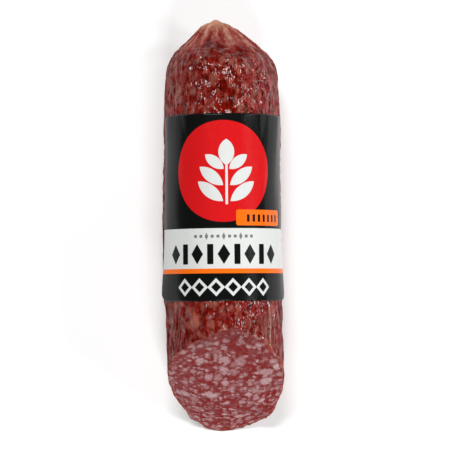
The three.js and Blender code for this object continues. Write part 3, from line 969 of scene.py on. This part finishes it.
def film_crease(across, y):
    """How the film stands off the casing in long shallow creases, most of them near its far end."""
    near_end = smooth(16, LABEL_FAR_Y, y)
    facets = 1 - 2.2 * abs(noise.noise(Vector((across / 6.5, y / 40, 21))))
    pinch = math.exp(-abs(across + 0.4) / 1.1) * smooth(31, 39, y)
    opening = smooth(26, LABEL_FAR_Y, y)
    wedges = sum(max(0, opening - abs(across - place) / WEDGE_HALF_WIDTH) for place in WEDGES)
    return 0.12 * (0.3 + 0.7 * near_end) * max(facets, 0) + 0.1 * pinch + WEDGE_HEIGHT * wedges


def side_lift(across, y):
    """How far the film's sides stand off towards the cut, where the casing has dried in under them."""
    left, right = SIDE_LIFTS
    most = blend(left if across < 0 else right, 0, smooth(LABEL_NEAR_Y - 4, LABEL_NEAR_Y + 26, y))
    return most * max(0, (abs(across) - SIDE_PARTS) / 10) ** 2


def label_columns():
    """The film's columns as (across, half length): close together and shorter through the rounded corners."""
    first, last = LABEL_CORNER - LABEL_LEFT, LABEL_RIGHT - LABEL_CORNER
    full = (LABEL_FAR_Y - LABEL_NEAR_Y) / 2
    corner = []
    for i in range(LABEL_CORNER_STEPS):
        turn = math.pi / 2 * i / LABEL_CORNER_STEPS
        corner.append((LABEL_CORNER * math.cos(turn), full - LABEL_CORNER * (1 - math.sin(turn))))
    inner = round((last - first) / LABEL_STEP)
    left = [(first - out, half) for out, half in corner]
    right = [(last + out, half) for out, half in reversed(corner)]
    return left + [(blend(first, last, i / inner), full) for i in range(inner + 1)] + right


def build_label(material):
    length = LABEL_FAR_Y - LABEL_NEAR_Y
    rows = round(length / LABEL_STEP)
    columns = label_columns()
    points, uv = [], []
    for thickness in (LABEL_FILM, 0):
        for across, half in columns:
            turn = math.degrees(across / RADIUS) + LABEL_TURN
            for r in range(rows + 1):
                along = half * (2 * r / rows - 1)
                y = (LABEL_NEAR_Y + LABEL_FAR_Y) / 2 + along
                lift = LABEL_LIFT + thickness + film_crease(across, y) + side_lift(across, y)
                points.append(surface_point(turn, round_radius(TIP_Y - y), y, inset=-lift, rough=0))
                uv.append((across / LABEL_WIDTH + 0.5, along / length + 0.5))
    faces = []
    per_column = rows + 1
    per_side = len(columns) * per_column
    last = len(columns) - 1
    for c in range(last):
        for r in range(rows):
            a = c * per_column + r
            b = a + per_column
            faces.append((a, b, b + 1, a + 1))
            faces.append((per_side + a, per_side + a + 1, per_side + b + 1, per_side + b))
    edge = (
        list(range(rows + 1))
        + [c * per_column + rows for c in range(1, last + 1)]
        + [last * per_column + r for r in range(rows - 1, -1, -1)]
        + [c * per_column for c in range(last - 1, 0, -1)]
    )
    for a, b in zip(edge, edge[1:] + edge[:1]):
        faces.append((a, b, per_side + b, per_side + a))
    return make_piece("front_label", points, faces, material, uv)


# ---- table, light and camera ----


def add_light(name, size, power, place, target):
    light = bpy.data.lights.new(name, "AREA")
    light.shape = "RECTANGLE"
    light.size, light.size_y = size
    light.energy = power
    lamp = bpy.data.objects.new(name, light)
    lamp.location = place
    lamp.rotation_euler = (Vector(target) - Vector(place)).to_track_quat("-Z", "Y").to_euler()
    bpy.context.scene.collection.objects.link(lamp)


def set_stage():
    reach = TABLE_REACH / MM
    corners = [(-reach, -reach, 0), (reach, -reach, 0), (reach, reach, 0), (-reach, reach, 0)]
    table = make_piece("table", corners, [(0, 1, 2, 3)], make_table())
    table.location.z = -TABLE_DROP
    world = bpy.data.worlds.new("studio")
    world.use_nodes = True
    background = world.node_tree.nodes["Background"]
    background.inputs["Color"].default_value = hex_colour("#FFFFFF")
    background.inputs["Strength"].default_value = WORLD_LIGHT
    bpy.context.scene.world = world
    bpy.context.scene.view_settings.view_transform = "Standard"
    for light in LIGHTS:
        add_light(*light)


def set_camera():
    camera = bpy.data.objects.new("camera", bpy.data.cameras.new("camera"))
    camera.data.lens = CAMERA_LENS
    camera.data.sensor_width = CAMERA_SENSOR
    camera.data.clip_start = 0.1
    camera.location = CAMERA_PLACE
    camera.rotation_euler = [math.radians(a) for a in CAMERA_TURN]
    bpy.context.scene.collection.objects.link(camera)
    bpy.context.scene.camera = camera


set_camera()
set_stage()
casing = build_casing(make_casing())
meat = build_meat(make_meat())
label = build_label(make_label_film())
clip = build_clip(make_clip_wire())

for piece, node, slot in (
    (casing, "casing", "casing_skin"),
    (meat, "sausage_meat", "cured_meat"),
    (label, "label", "label_film"),
    (clip, "clip", "clip_wire"),
):
    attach(piece, "root")
    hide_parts(node)
